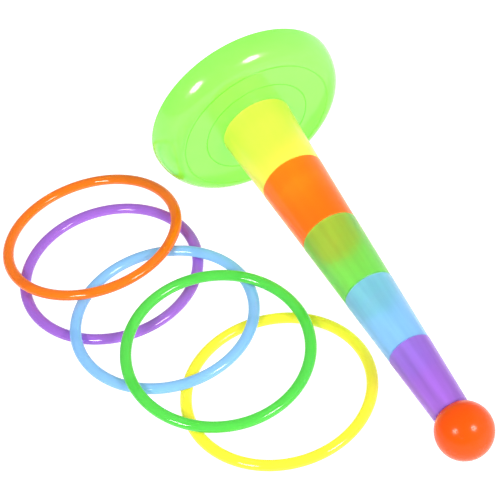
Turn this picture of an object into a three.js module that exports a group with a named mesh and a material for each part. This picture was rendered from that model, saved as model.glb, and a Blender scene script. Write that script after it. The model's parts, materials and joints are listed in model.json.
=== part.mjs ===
// A stacking ring toy in clear-coloured plastic: a round base, five tapered cones, a ball for the top, and
// five thin rings. It lies as it is left after play, with the tower on its side and the rings in a loose
// overlapping row beside it. Millimetres, +Z up, the origin on the floor under the middle of the object.
import * as THREE from 'three';

// Clearances and walls.
const GAP = 0.3;                 // between pieces that rest on or slide in each other
const WALL = 1.6;                // moulded wall of the base, the cones and the ball
const NECK_WALL = 1.5;

// Base: a shallow dish, open below, with a flat top and a broad rounded shoulder.
const BASE_RADIUS = 69.1;
const BASE_HEIGHT = 20.5;
const BASE_FLAT_RADIUS = 53.9;   // where the flat top turns into the shoulder

// Cones: all one length, from the base up. The outer radius is given at each joint between two pieces.
const CONE_NAMES = ['yellow', 'orange', 'green', 'blue', 'purple'];
const CONE_PITCH = 51.2;
const JOINT_RADII = [25.2, 22.2, 19.7, 17.3, 14.8, 12.3];
const SHOULDER_STEP = 0.2;       // a shoulder is this much narrower than the cone that sits on it
const NECK_LENGTH = 12.8;        // a neck reaches a quarter of the way up the next cone

// Ball: hollow, cut flat where it sits on the top cone, with a socket for that cone's neck.
const BALL_RADIUS = 18.7;
const BALL_SEAT = 14.6;          // from the ball's centre down to its flat seat

// Rings: rod of a slightly flattened oval section, bent into a hoop.
const RING_RADIUS = 60;          // to the middle of the rod
const ROD_HALF_WIDTH = 3.9;      // across the rod, in the ring's own plane
const ROD_RADIUS = 3.2;          // half the rod's thickness, along the ring's axis
const LAYER = 2 * ROD_RADIUS + GAP;

// Where the rings lie, measured from the point of the floor under the middle of the base's rim. A ring that
// leans is lower on the side that faces the given heading, in degrees from +X.
const RINGS = [
  { name: 'purple', x: 27.6, y: -126.5, z: ROD_RADIUS, lean: 0, heading: 0 },
  { name: 'yellow', x: 183.2, y: -76.7, z: ROD_RADIUS, lean: 0, heading: 0 },
  { name: 'blue', x: 92.0, y: -114.5, z: ROD_RADIUS + LAYER, lean: 0, heading: 0 },
  { name: 'green', x: 139.7, y: -97.2, z: 13.57, lean: 7.05, heading: 20.1 },
  { name: 'orange', x: -4.7, y: -125.6, z: 10.62, lean: 7.1, heading: -173.7 },
];

// Facets round each kind of piece.
const BASE_SIDES = 48;
const CONE_SIDES = 32;
const BALL_SIDES = 32;
const RING_SIDES = 44;
const ROD_SIDES = 8;
const SHOULDER_STEPS = 6;
const BALL_STEPS = 10;
const SETTLING_STEPS = 12;

const COLOURS = {
  lime: 0xaefd6e, yellow: 0xfdf85a, orange: 0xff8f1f, green: 0x71e65c, blue: 0x98d8fc, purple: 0xb17ff0,
  ball: 0xff6428,
};

function gloss(colour) {
  return new THREE.MeshStandardMaterial({ color: COLOURS[colour], roughness: 0.15, metalness: 0 });
}

// Turns a profile of [radius, height] points about +Z.
function turned(profile, sides) {
  const points = profile.map(([radius, height]) => new THREE.Vector2(radius, height));
  return new THREE.LatheGeometry(points, sides).rotateX(Math.PI / 2);
}

// Points of an arc of an ellipse about [0, height], from one angle to another, moved out by offset.
function arc(offset, height, radiusOut, radiusUp, from, to, steps) {
  const points = [];
  for (let i = 0; i <= steps; i += 1) {
    const angle = THREE.MathUtils.degToRad(from + (to - from) * i / steps);
    points.push([offset + radiusOut * Math.cos(angle), height + radiusUp * Math.sin(angle)]);
  }
  return points;
}

// How much the inside of the piece above joint number k narrows for each millimetre of height.
function taper(k) {
  const lower = Math.min(k, CONE_NAMES.length - 1);
  return (JOINT_RADII[lower] - JOINT_RADII[lower + 1] + SHOULDER_STEP) / CONE_PITCH;
}

// A neck's outer radius at its root and at its tip: it fills the socket above it, less the clearance.
function neckRadii(k) {
  const root = JOINT_RADII[k] - WALL - GAP;
  return [root, root - NECK_LENGTH * taper(k)];
}

function baseGeometry() {
  const [root, tip] = neckRadii(0);
  const collarTop = BASE_HEIGHT + NECK_LENGTH;
  const shoulder = BASE_RADIUS - BASE_FLAT_RADIUS;
  return turned([
    [0, collarTop - WALL],
    [tip - WALL, collarTop - WALL],
    [root - WALL, BASE_HEIGHT - WALL],
    ...arc(BASE_FLAT_RADIUS, 0, shoulder - WALL, BASE_HEIGHT - WALL, 90, 0, SHOULDER_STEPS),
    ...arc(BASE_FLAT_RADIUS, 0, shoulder, BASE_HEIGHT, 0, 90, SHOULDER_STEPS),
    [root, BASE_HEIGHT],
    [tip, collarTop],
    [0, collarTop],
  ], BASE_SIDES);
}

// An open-ended tapered tube with a flat shoulder and a narrower neck. It stands on its lower edge.
function coneGeometry(k) {
  const shoulderHeight = CONE_PITCH - GAP;
  const lower = JOINT_RADII[k];
  const upper = JOINT_RADII[k + 1] - SHOULDER_STEP;
  const [root, tip] = neckRadii(k + 1);
  return turned([
    [lower, 0],
    [upper, shoulderHeight],
    [root, shoulderHeight],
    [tip, shoulderHeight + NECK_LENGTH],
    [tip - NECK_WALL, shoulderHeight + NECK_LENGTH],
    [root - NECK_WALL, shoulderHeight - WALL],
    [upper - WALL, shoulderHeight - WALL],
    [lower - WALL, 0],
    [lower, 0],
  ], CONE_SIDES);
}

function ballGeometry() {
  const socket = JOINT_RADII[CONE_NAMES.length] - WALL;
  const inner = BALL_RADIUS - WALL;
  const outerStart = -THREE.MathUtils.radToDeg(Math.asin(BALL_SEAT / BALL_RADIUS));
  const innerStart = -THREE.MathUtils.radToDeg(Math.asin((BALL_SEAT - WALL) / inner));
  return turned([
    ...arc(0, 0, inner, inner, 90, innerStart, BALL_STEPS),
    [socket, WALL - BALL_SEAT],
    [socket, -BALL_SEAT],
    ...arc(0, 0, BALL_RADIUS, BALL_RADIUS, outerStart, 90, BALL_STEPS),
  ].map(([radius, height]) => [Math.max(radius, 0) < 1e-6 ? 0 : radius, height]), BALL_SIDES);
}

function piece(name, geometry, colour, height = 0) {
  const mesh = new THREE.Mesh(geometry, gloss(colour));
  mesh.name = name;
  mesh.position.z = height;
  return mesh;
}

// Height of the middle of the rim above the floor when the base stands on its shoulder, leaning by tilt.
function rimHeight(tilt) {
  const reach = (BASE_RADIUS - BASE_FLAT_RADIUS) * Math.cos(tilt);
  return BASE_FLAT_RADIUS * Math.cos(tilt) + Math.hypot(reach, BASE_HEIGHT * Math.sin(tilt));
}

// The tower is built upright along its own +Z, then laid down so that the base and the ball both touch the
// floor. The lean that does this is found by repeating the step below until it settles.
function tower() {
  const group = new THREE.Group();
  group.add(piece('base_disc', baseGeometry(), 'lime'));
  CONE_NAMES.forEach((name, k) => {
    const height = BASE_HEIGHT + GAP + k * CONE_PITCH;
    group.add(piece(`cone_${name}`, coneGeometry(k), name, height));
  });
  const ballHeight = BASE_HEIGHT + GAP + CONE_NAMES.length * CONE_PITCH + BALL_SEAT;
  group.add(piece('top_ball', ballGeometry(), 'ball', ballHeight));
  let tilt = 0;
  for (let i = 0; i < SETTLING_STEPS; i += 1) {
    tilt = Math.asin((rimHeight(tilt) - BALL_RADIUS) / ballHeight);
  }
  group.rotation.y = Math.PI / 2 + tilt;
  group.position.z = rimHeight(tilt);
  return group;
}

function ring({ name, x, y, z, lean, heading }) {
  const section = arc(RING_RADIUS, 0, ROD_HALF_WIDTH, ROD_RADIUS, 0, 360, ROD_SIDES);
  section[ROD_SIDES] = section[0];
  const mesh = piece(`ring_${name}`, turned(section, RING_SIDES), name);
  const side = THREE.MathUtils.degToRad(heading);
  const hinge = new THREE.Vector3(-Math.sin(side), Math.cos(side), 0);
  mesh.quaternion.setFromAxisAngle(hinge, THREE.MathUtils.degToRad(lean));
  mesh.position.set(x, y, z);
  return mesh;
}

const toy = new THREE.Group();
toy.add(tower(), ...RINGS.map(ring));

// Brings the origin to the floor under the middle of the whole object.
const object = new THREE.Group();
object.add(toy);
object.updateMatrixWorld(true);
const bounds = new THREE.Box3().setFromObject(toy, true);
const middle = bounds.getCenter(new THREE.Vector3());
toy.position.set(-middle.x, -middle.y, -bounds.min.z);

export default object;
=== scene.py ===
import json
import math

import bmesh
import bpy
from mathutils import Matrix, Vector


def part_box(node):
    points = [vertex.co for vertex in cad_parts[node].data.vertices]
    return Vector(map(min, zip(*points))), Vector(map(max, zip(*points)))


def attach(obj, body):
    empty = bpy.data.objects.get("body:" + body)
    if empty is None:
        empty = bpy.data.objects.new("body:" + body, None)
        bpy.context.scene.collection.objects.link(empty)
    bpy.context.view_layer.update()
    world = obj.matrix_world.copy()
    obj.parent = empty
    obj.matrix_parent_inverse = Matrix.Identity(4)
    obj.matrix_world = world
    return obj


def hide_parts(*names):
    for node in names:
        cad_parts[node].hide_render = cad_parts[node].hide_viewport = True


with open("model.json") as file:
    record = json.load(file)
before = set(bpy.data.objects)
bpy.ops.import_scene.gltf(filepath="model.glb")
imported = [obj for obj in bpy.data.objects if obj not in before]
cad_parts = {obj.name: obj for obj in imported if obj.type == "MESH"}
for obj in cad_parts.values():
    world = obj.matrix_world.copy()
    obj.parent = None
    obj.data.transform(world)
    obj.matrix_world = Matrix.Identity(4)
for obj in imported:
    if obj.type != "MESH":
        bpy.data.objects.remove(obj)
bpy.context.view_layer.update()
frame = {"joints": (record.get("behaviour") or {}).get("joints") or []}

# ---- Base -------------------------------------------------------------------------------------------------
# A shallow dish about 138 mm across in clear lime plastic, moulded in one with the collar that the first
# cone fits over. Two fine circles are scored in its flat top. The toy lies on its side, on the dish's round
# shoulder and on the ball, so the line of the tower runs down towards the ball.

MM = 0.001
BASE_RADIUS = 69.1 * MM
BASE_HEIGHT = 20.5 * MM
BASE_FLAT_RADIUS = 53.9 * MM
INNER_CIRCLE_RADIUS = 37.7 * MM
BASE_WALL = 1.6 * MM
COLLAR_HEIGHT = 12.8 * MM
COLLAR_RADII = (23.3 * MM, 22.5 * MM)
SCORE_DEPTH = 0.5 * MM
SCORE_HALF = 0.5 * MM
SCORE_ROUND = 0.12 * MM
EDGE_ROUND = 0.5 * MM
SIDES = 144
BALL_RADIUS = 18.7 * MM
BALL_HEIGHT = 291.4 * MM            # from the plane of the base's rim up to the middle of the ball

scene = bpy.context.scene
pull_direction = Vector(next(j["axis"] for j in frame["joints"] if j["name"] == "base_disc_pull"))
tower_up = -pull_direction.normalized()
ball_low, ball_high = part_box("top_ball")
ball_middle = Vector((ball_high.x - BALL_RADIUS, (ball_low.y + ball_high.y) / 2, BALL_RADIUS))
rim_middle = ball_middle - tower_up * BALL_HEIGHT


def line_matrix(height):
    """Takes a shape drawn upright about Z to its place on the tower, this high above the rim's plane."""
    side = Vector((0, 1, 0))
    across = side.cross(tower_up)
    turn = Matrix((across, side, tower_up)).transposed().to_4x4()
    return Matrix.Translation(rim_middle + tower_up * height) @ turn


def arc(middle, radii, start, end, steps):
    """Points of an arc of an ellipse from one angle to another, in degrees."""
    points = []
    for i in range(steps + 1):
        angle = math.radians(start + (end - start) * i / steps)
        points.append((middle[0] + radii[0] * math.cos(angle), middle[1] + radii[1] * math.sin(angle)))
    return points


def rounded(corners, steps=4):
    """Softens the corners of an outline of (radius, height, rounding) points. A corner with no rounding stays
    as it is."""
    points = []
    for i, (x, y, size) in enumerate(corners):
        here = Vector((x, y))
        if size == 0 or i in (0, len(corners) - 1):
            points.append((x, y))
            continue
        back = (Vector(corners[i - 1][:2]) - here).normalized()
        on = (Vector(corners[i + 1][:2]) - here).normalized()
        half = math.acos(max(-1, min(1, back.dot(on)))) / 2
        reach = size / math.tan(half)
        centre = here + (back + on).normalized() * (size / math.sin(half))
        first, last = here + back * reach, here + on * reach
        hold = min(size, reach) / 2
        points.append(tuple(first + back * hold))
        for k in range(steps + 1):
            ray = (first - centre).lerp(last - centre, k / steps).normalized()
            points.append(tuple(centre + ray * size))
        points.append(tuple(last + on * hold))
    return points


def turned(name, outline, place, closed=False, sides=SIDES):
    """Spins an outline of (radius, height) points about Z, puts it in place and makes a smooth object."""
    bm = bmesh.new()
    verts = [bm.verts.new((radius, 0, height)) for radius, height in outline]
    pairs = list(zip(verts, verts[1:]))
    if closed:
        pairs.append((verts[-1], verts[0]))
    edges = [bm.edges.new(pair) for pair in pairs]
    bmesh.ops.spin(bm, geom=verts + edges, cent=(0, 0, 0), axis=(0, 0, 1), angle=math.tau, steps=sides,
                   use_merge=True)
    bmesh.ops.remove_doubles(bm, verts=bm.verts, dist=1e-6)
    bmesh.ops.recalc_face_normals(bm, faces=bm.faces)
    return placed(name, bm, place)


def placed(name, bm, place):
    """Moves a finished shape to its place and links it as an object that sits at the origin."""
    bmesh.ops.transform(bm, matrix=place, verts=bm.verts)
    for face in bm.faces:
        face.smooth = True
    mesh = bpy.data.meshes.new(name)
    bm.to_mesh(mesh)
    bm.free()
    mesh.validate()
    piece = bpy.data.objects.new(name, mesh)
    scene.collection.objects.link(piece)
    return piece


def carried(piece, node, material):
    """A finished piece takes its colour and stands for the plain solid of the same part."""
    piece.data.materials.append(material)
    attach(piece, node)
    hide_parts(node)


def score(radius, height):
    """A fine scored circle in a flat top, as outline points from the inside out."""
    return [
        (radius - SCORE_HALF, height, SCORE_ROUND),
        (radius, height - SCORE_DEPTH, SCORE_ROUND),
        (radius + SCORE_HALF, height, SCORE_ROUND),
    ]


def clear_plastic(name, glow, tint, clear, lit, gloss=0.03, haze=0.12, shine=1.36, grain=(0, 0, 1),
                  stretch=1.0, streaks_and_sheen=0.05, size=90):
    """Glossy clear-coloured plastic: part of the light is scattered in the wall, and part goes through it.
    glow is the scattered colour, tint the colour of what shows through, and clear its share. lit is how much
    of the lamps' light gets inside. gloss and haze are how rough the skin and the inside are, and shine is
    the plastic's index. The colour varies a little at random, and on the cones it is painted in lighter and
    darker streaks along the grain that stand for reflections."""
    material = bpy.data.materials.new(name)
    material.use_nodes = True
    nodes, links = material.node_tree.nodes, material.node_tree.links
    nodes.clear()
    output = nodes.new("ShaderNodeOutputMaterial")
    mix = nodes.new("ShaderNodeMixShader")
    mix.inputs[0].default_value = clear
    place = nodes.new("ShaderNodeTexCoord")
    line = nodes.new("ShaderNodeMapping")
    line.vector_type = "TEXTURE"
    line.inputs["Rotation"].default_value = Vector(grain).to_track_quat("Z", "Y").to_euler()
    line.inputs["Scale"].default_value = (1, 1, stretch)
    links.new(place.outputs["Object"], line.inputs["Vector"])
    # This noise paints lighter and darker streaks into the colour: a random tone on most pieces, and on the
    # cones, stretched along the tower, painted reflection streaks.
    tone_and_sheen_noise = nodes.new("ShaderNodeTexNoise")
    tone_and_sheen_noise.inputs["Scale"].default_value = size
    tone_and_sheen_noise.inputs["Detail"].default_value = 2
    links.new(line.outputs["Vector"], tone_and_sheen_noise.inputs["Vector"])
    ripple = nodes.new("ShaderNodeTexNoise")
    ripple.inputs["Scale"].default_value = 45
    ripple.inputs["Detail"].default_value = 1
    links.new(place.outputs["Object"], ripple.inputs["Vector"])
    bump = nodes.new("ShaderNodeBump")
    bump.inputs["Strength"].default_value = 0.03
    bump.inputs["Distance"].default_value = 0.0006
    links.new(ripple.outputs["Fac"], bump.inputs["Height"])
    for index, colour in enumerate((glow, tint)):
        blend = nodes.new("ShaderNodeMix")
        blend.data_type = "RGBA"
        blend.inputs["A"].default_value = (*[c * (1 - streaks_and_sheen) for c in colour], 1)
        blend.inputs["B"].default_value = (*[min(1, c * (1 + streaks_and_sheen)) for c in colour], 1)
        links.new(tone_and_sheen_noise.outputs["Fac"], blend.inputs["Factor"])
        wall = nodes.new("ShaderNodeBsdfPrincipled")
        wall.inputs["IOR"].default_value = shine
        wall.inputs["Roughness"].default_value = (gloss, haze)[index]
        wall.inputs["Transmission Weight"].default_value = index
        links.new(blend.outputs["Result"], wall.inputs["Base Color"])
        links.new(bump.outputs["Normal"], wall.inputs["Normal"])
        links.new(wall.outputs["BSDF"], mix.inputs[1 + index])
    lamps = nodes.new("ShaderNodeLightPath")
    lit_through = nodes.new("ShaderNodeBsdfTransparent")
    lit_through.inputs["Color"].default_value = (*[lit * c ** 0.5 for c in tint], 1)
    passing = nodes.new("ShaderNodeMixShader")
    links.new(lamps.outputs["Is Shadow Ray"], passing.inputs[0])
    links.new(mix.outputs["Shader"], passing.inputs[1])
    links.new(lit_through.outputs["BSDF"], passing.inputs[2])
    links.new(passing.outputs["Shader"], output.inputs["Surface"])
    return material


shoulder = BASE_RADIUS - BASE_FLAT_RADIUS
collar_top = BASE_HEIGHT + COLLAR_HEIGHT
base_outline = [
    *rounded([
        (0, collar_top, 0),
        (COLLAR_RADII[1], collar_top, EDGE_ROUND),
        (COLLAR_RADII[0], BASE_HEIGHT, EDGE_ROUND),
        *score(INNER_CIRCLE_RADIUS, BASE_HEIGHT),
        *score(BASE_FLAT_RADIUS, BASE_HEIGHT)[:2],
        (BASE_FLAT_RADIUS + 2 * SCORE_HALF, BASE_HEIGHT, 0),
    ]),
    *arc((BASE_FLAT_RADIUS, 0), (shoulder, BASE_HEIGHT), 85, 2, 24),
    *arc((BASE_RADIUS - BASE_WALL / 2, BASE_WALL / 3), (BASE_WALL / 2, BASE_WALL / 3), 0, -180, 8),
    *arc((BASE_FLAT_RADIUS, 0), (shoulder - BASE_WALL, BASE_HEIGHT - BASE_WALL), 2, 90, 20),
    *rounded([
        (COLLAR_RADII[0] - BASE_WALL + 2 * MM, BASE_HEIGHT - BASE_WALL, 0),
        (COLLAR_RADII[0] - BASE_WALL, BASE_HEIGHT - BASE_WALL, EDGE_ROUND),
        (COLLAR_RADII[1] - BASE_WALL, collar_top - BASE_WALL, EDGE_ROUND),
        (0, collar_top - BASE_WALL, 0),
    ]),
]
lime_base = turned("lime_base", base_outline, line_matrix(0))
lime = clear_plastic("lime plastic", glow=(0.27, 0.93, 0.05), tint=(0.52, 1.0, 0.38), clear=0.45, lit=0.7,
                     gloss=0.17, shine=1.5)
carried(lime_base, "base_disc", lime)


# ---- Cones ------------------------------------------------------------------------------------------------
# Five tapered tubes about 51 mm long, each in its own clear colour. Each is one moulding with a flat
# shoulder and a narrower neck that goes a quarter of the way up inside the next piece, where it shows
# through as a darker band. Lighter and darker streaks are painted into their colour along their length,
# as painted reflections of the lamps.

CONE_PITCH = 51.2 * MM
JOINT_GAP = 0.3 * MM
CONE_WALL = 1.6 * MM
NECK_WALL = 1.5 * MM
NECK_LENGTH = 12.8 * MM
SHOULDER_STEP = 0.2 * MM
JOINT_RADII = [r * MM for r in (25.2, 22.2, 19.7, 17.3, 14.8, 12.3)]
CONE_PLASTICS = {       # the scattered colour, the colour of what shows through, its share, and the painted reflection streaks
    "yellow": ((0.92, 0.90, 0.11), (0.94, 1.0, 0.5), 0.68, 0.05),
    "orange": ((1.0, 0.20, 0.001), (1.0, 0.55, 0.08), 0.42, 0.08),
    "green": ((0.10, 0.66, 0.06), (0.85, 0.95, 0.55), 0.62, 0.22),
    "blue": ((0.22, 0.52, 0.90), (0.77, 0.93, 1.0), 0.57, 0.25),
    "purple": ((0.37, 0.128, 0.65), (0.85, 0.7, 1.0), 0.5, 0.35),
}


def neck_radii(joint):
    """A neck's outer radius at its root and at its tip, just inside the socket that it fills."""
    lower = min(joint, len(CONE_PLASTICS) - 1)
    narrowing = (JOINT_RADII[lower] - JOINT_RADII[lower + 1] + SHOULDER_STEP) / CONE_PITCH
    root = JOINT_RADII[joint] - CONE_WALL - JOINT_GAP
    return root, root - NECK_LENGTH * narrowing


def cone_outline(joint):
    """The wall of the cone above this joint, as an outline from the middle of its outside up over the neck,
    down the inside and round the foot."""
    lower = JOINT_RADII[joint]
    upper = JOINT_RADII[joint + 1] - SHOULDER_STEP
    shoulder_height = CONE_PITCH - JOINT_GAP
    root, tip = neck_radii(joint + 1)
    middle = ((lower + upper) / 2, shoulder_height / 2, 0)
    return rounded([
        middle,
        (upper, shoulder_height, 0.5 * MM),
        (root, shoulder_height, 0.3 * MM),
        (tip, shoulder_height + NECK_LENGTH, 0.4 * MM),
        (tip - NECK_WALL, shoulder_height + NECK_LENGTH, 0.4 * MM),
        (root - NECK_WALL, shoulder_height - CONE_WALL, 0.3 * MM),
        (upper - CONE_WALL, shoulder_height - CONE_WALL, 0.3 * MM),
        (lower - CONE_WALL, 0, 0.35 * MM),
        (lower, 0, 0.45 * MM),
        middle,
    ])[:-1]


for joint, (colour, (glow, tint, clear, streaks_and_sheen)) in enumerate(CONE_PLASTICS.items()):
    height = BASE_HEIGHT + JOINT_GAP + joint * CONE_PITCH
    cone = turned(f"{colour}_cone", cone_outline(joint), line_matrix(height), closed=True)
    # The last value of each entry sets how strong the painted reflection streaks along the cone are.
    plastic = clear_plastic(f"{colour} plastic", glow, tint, clear, lit=0.85, haze=0.4, grain=tower_up,
                            stretch=30, streaks_and_sheen=streaks_and_sheen, size=200)
    carried(cone, f"cone_{colour}", plastic)


# ---- Ball -------------------------------------------------------------------------------------------------
# A hollow orange-red ball about 37 mm across, moulded with a flat seat and a socket for the last neck. Its
# colour is denser than the cones'.

BALL_SEAT = 14.6 * MM
BALL_WALL = 1.6 * MM

socket_radius = JOINT_RADII[-1] - CONE_WALL
inner_radius = BALL_RADIUS - BALL_WALL
seat_angle = -math.degrees(math.asin(BALL_SEAT / BALL_RADIUS))
floor_angle = -math.degrees(math.asin((BALL_SEAT - BALL_WALL) / inner_radius))
ball_outline = [
    *arc((0, 0), (inner_radius, inner_radius), 90, floor_angle, 36),
    (socket_radius, BALL_WALL - BALL_SEAT),
    (socket_radius, 0.2 * MM - BALL_SEAT),
    (socket_radius + 0.2 * MM, -BALL_SEAT),
    *arc((0, 0), (BALL_RADIUS, BALL_RADIUS), seat_angle + 0.5, 90, 48),
]
ball_outline[0] = (0, inner_radius)
ball_outline[-1] = (0, BALL_RADIUS)
ball = turned("orange_red_ball", ball_outline, line_matrix(BALL_HEIGHT))

GATE_RADIUS = 0.9 * MM              # the small round scar where the mould was filled
gate_direction = Vector((0.62, -0.427, 0.657)).normalized()
bm = bmesh.new()
bm.from_mesh(ball.data)
gate_turn = gate_direction.to_track_quat("Z", "Y").to_matrix().to_4x4()
gate_place = Matrix.Translation(ball_middle + gate_direction * BALL_RADIUS) @ gate_turn
gate = bmesh.ops.create_cone(bm, cap_ends=True, segments=20, radius1=1.4 * GATE_RADIUS, radius2=GATE_RADIUS,
                             depth=0.3 * MM, matrix=gate_place)
gate_verts = set(gate["verts"])
gate_edges = [e for e in bm.edges if e.verts[0] in gate_verts]
bmesh.ops.bevel(bm, geom=gate_edges, offset=0.1 * MM, offset_type="OFFSET", segments=2, profile=0.5,
                affect="EDGES", material=-1)
for face in bm.faces:
    face.smooth = True
bm.to_mesh(ball.data)
bm.free()
ball_plastic = clear_plastic("orange red plastic", glow=(1.0, 0.1, 0.002), tint=(1.0, 0.35, 0.05), clear=0.2,
                             lit=0.3, gloss=0.22, shine=1.28)
carried(ball, "top_ball", ball_plastic)


# ---- Rings ------------------------------------------------------------------------------------------------
# Five thin hoops about 128 mm across, of rod 7.8 mm wide and 6.4 mm thick, in a loose row where each lies
# across its neighbours. Purple and yellow are flat on the floor, blue is across both, and green and orange
# lean on blue.

RING_RADIUS = 60 * MM
ROD_RADIUS = 3.2 * MM
ROD_WIDENING = 3.9 / 3.2            # the rod is a slightly flattened oval
RING_LEANS = {"green": (7.05, 20.1), "orange": (7.1, -173.7)}      # degrees, and the heading they lean to
RING_COLOURS = {
    "orange": (0.95, 0.20, 0.002),
    "purple": (0.38, 0.14, 0.68),
    "blue": (0.26, 0.56, 0.92),
    "green": (0.09, 0.68, 0.07),
    "yellow": (0.98, 0.88, 0.04),
}


def hoop(name, place):
    """The oval section of the rod, spun about Z."""
    bm = bmesh.new()
    bmesh.ops.create_circle(bm, segments=28, radius=ROD_RADIUS)
    bmesh.ops.rotate(bm, verts=bm.verts, cent=(0, 0, 0), matrix=Matrix.Rotation(math.pi / 2, 3, "X"))
    bmesh.ops.scale(bm, vec=(ROD_WIDENING, 1, 1), verts=bm.verts)
    bmesh.ops.translate(bm, verts=bm.verts, vec=(RING_RADIUS, 0, 0))
    bmesh.ops.spin(bm, geom=bm.verts[:] + bm.edges[:], cent=(0, 0, 0), axis=(0, 0, 1), angle=math.tau,
                   steps=160, use_merge=True)
    bmesh.ops.remove_doubles(bm, verts=bm.verts, dist=1e-6)
    bmesh.ops.recalc_face_normals(bm, faces=bm.faces)
    return placed(name, bm, place)


for colour, glow in RING_COLOURS.items():
    low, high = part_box(f"ring_{colour}")
    lean, heading = RING_LEANS.get(colour, (0, 0))
    heading = math.radians(heading)
    hinge = Vector((-math.sin(heading), math.cos(heading), 0))
    place = Matrix.Translation((low + high) / 2) @ Matrix.Rotation(math.radians(lean), 4, hinge)
    ring = hoop(f"{colour}_ring", place)
    tint = [c ** 0.5 for c in glow]
    plastic = clear_plastic(f"{colour} ring plastic", glow, tint, clear=0.25, lit=0.4, shine=1.48)
    carried(ring, f"ring_{colour}", plastic)


# ---- Floor, light and camera ------------------------------------------------------------------------------
# A white table lit from within, so that no shadow shows on it, in a room that is brighter on one side, and
# two soft boxes that give each glossy surface its pair of highlights.

CAMERA_PLACE = Vector((0.9569, -0.3218, 0.9847))      # from the floor under the middle of the base's rim
CAMERA_HEADING, CAMERA_DROP, CAMERA_ROLL = 72.34, 46.33, -12.37
CAMERA_LENS = 143.4

camera_data = bpy.data.cameras.new("camera")
camera_data.lens = CAMERA_LENS
camera_data.sensor_width = 36
camera = bpy.data.objects.new("camera", camera_data)
scene.collection.objects.link(camera)
heading, drop, roll = (math.radians(a) for a in (CAMERA_HEADING, CAMERA_DROP, CAMERA_ROLL))
forward = Vector((-math.sin(heading) * math.cos(drop), math.cos(heading) * math.cos(drop), -math.sin(drop)))
level = Vector((math.cos(heading), math.sin(heading), 0))
upright = level.cross(forward)
right = level * math.cos(roll) + upright * math.sin(roll)
up = upright * math.cos(roll) - level * math.sin(roll)
camera_place = Vector((rim_middle.x, rim_middle.y, 0)) + CAMERA_PLACE
turn = Matrix((right, up, -forward)).transposed().to_4x4()
camera.matrix_world = Matrix.Translation(camera_place) @ turn
scene.camera = camera

bm = bmesh.new()
bmesh.ops.create_grid(bm, x_segments=1, y_segments=1, size=4)
floor = placed("floor", bm, Matrix.Identity(4))
table = bpy.data.materials.new("white table")
table.use_nodes = True
table_shader = table.node_tree.nodes["Principled BSDF"]
table_shader.inputs["Base Color"].default_value = (0.5, 0.5, 0.5, 1)
table_shader.inputs["Roughness"].default_value = 0.25
table_shader.inputs["Emission Color"].default_value = (1, 1, 1, 1)
table_shader.inputs["Emission Strength"].default_value = 0.85
floor.data.materials.append(table)

# The room is bright on the right, past the tower, and dim on the other side and overhead.
world = bpy.data.worlds.new("white room")
world.use_nodes = True
room, wires = world.node_tree.nodes, world.node_tree.links
way = room.new("ShaderNodeTexCoord")
towards_window = room.new("ShaderNodeVectorMath")
towards_window.operation = "DOT_PRODUCT"
towards_window.inputs[1].default_value = (0.35, 0.85, -0.4)
wires.new(way.outputs["Generated"], towards_window.inputs[0])
dimming = room.new("ShaderNodeMapRange")
dimming.interpolation_type = "SMOOTHSTEP"
dimming.inputs["From Min"].default_value = -0.1
dimming.inputs["From Max"].default_value = 0.9
dimming.inputs["To Min"].default_value = 0.36
dimming.inputs["To Max"].default_value = 1.1
wires.new(towards_window.outputs["Value"], dimming.inputs["Value"])
wires.new(dimming.outputs["Result"], room["Background"].inputs["Strength"])
room["Background"].inputs["Color"].default_value = (1, 1, 1, 1)
scene.world = world


TOY_MIDDLE = Vector((0, 0, 0.05))


def soft_box(name, place, size, power):
    """A round lamp with a diffuser, aimed at the middle of the toy."""
    lamp = bpy.data.lights.new(name, "AREA")
    lamp.shape = "DISK"
    lamp.size = size
    lamp.energy = power
    box = bpy.data.objects.new(name, lamp)
    scene.collection.objects.link(box)
    box.location = place
    box.rotation_mode = "QUATERNION"
    box.rotation_quaternion = (Vector(place) - TOY_MIDDLE).to_track_quat("Z", "Y")


soft_box("left_box", (0.40, -0.83, 0.83), 0.36, 9)
soft_box("right_box", (1.0, 0.53, 0.94), 0.42, 12)

scene.view_settings.view_transform = "Standard"
